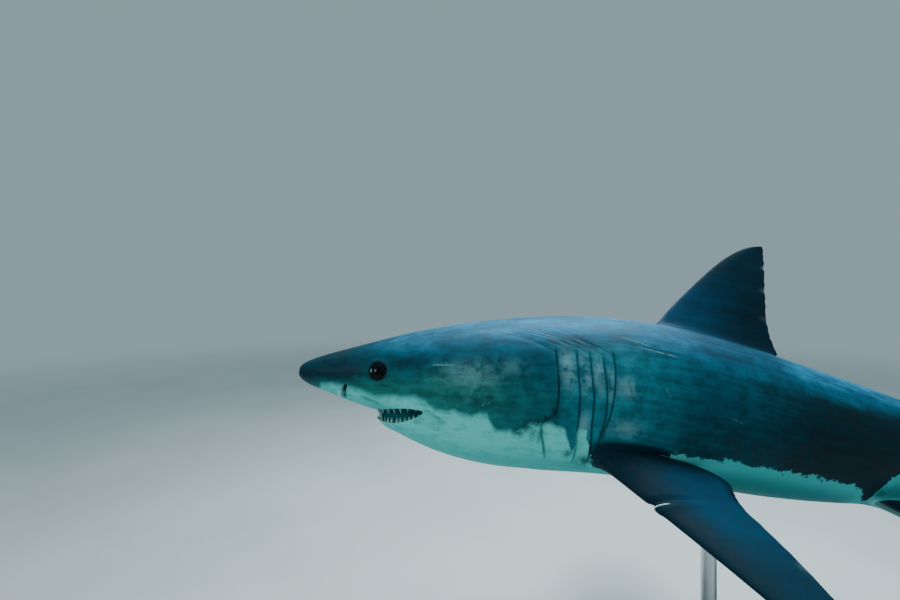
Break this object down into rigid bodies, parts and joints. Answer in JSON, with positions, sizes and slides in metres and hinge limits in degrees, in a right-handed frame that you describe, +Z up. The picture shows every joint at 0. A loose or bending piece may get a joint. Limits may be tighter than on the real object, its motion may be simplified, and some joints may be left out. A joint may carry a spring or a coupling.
{
  "type": "great white shark model",
  "caption": "Life-size model of a great white shark in a gently bent swimming pose, on a flat base with upright rods under the belly.",
  "frame": {"origin": "middle of the flat underside of the stand's base, on the floor", "axes": "+Z up, +X towards the tail along the stand, so the head points to -X; the animal's left side faces -Y"},
  "size_m": [3.248, 1.3065, 1.4536],
  "materials": {
    "dark_skin": "satin shark skin, dark slate with a teal cast on the back and mottled on the flanks",
    "pale_skin": "satin shark skin, off-white belly",
    "eye": "wet black",
    "stand_paint": "matt grey paint",
    "stand_steel": "satin"
  },
  "bodies": {
    "root": {"head": "dark_skin", "lower_jaw": "pale_skin", "eye_left": "eye", "eye_right": "eye", "gill_region": "dark_skin", "trunk_front": "dark_skin", "trunk_rear": "dark_skin", "tail_stalk": "dark_skin", "tail_fin_upper": "dark_skin", "tail_fin_lower": "dark_skin", "dorsal_fin_first": "dark_skin", "dorsal_fin_second": "dark_skin", "anal_fin": "pale_skin", "pectoral_fin_left": "dark_skin", "pectoral_fin_right": "dark_skin", "pelvic_fin_left": "dark_skin", "pelvic_fin_right": "dark_skin", "stand_base": "stand_paint", "stand_rod_front": "stand_steel", "stand_rod_rear": "stand_steel"}
  },
  "joints": []
}
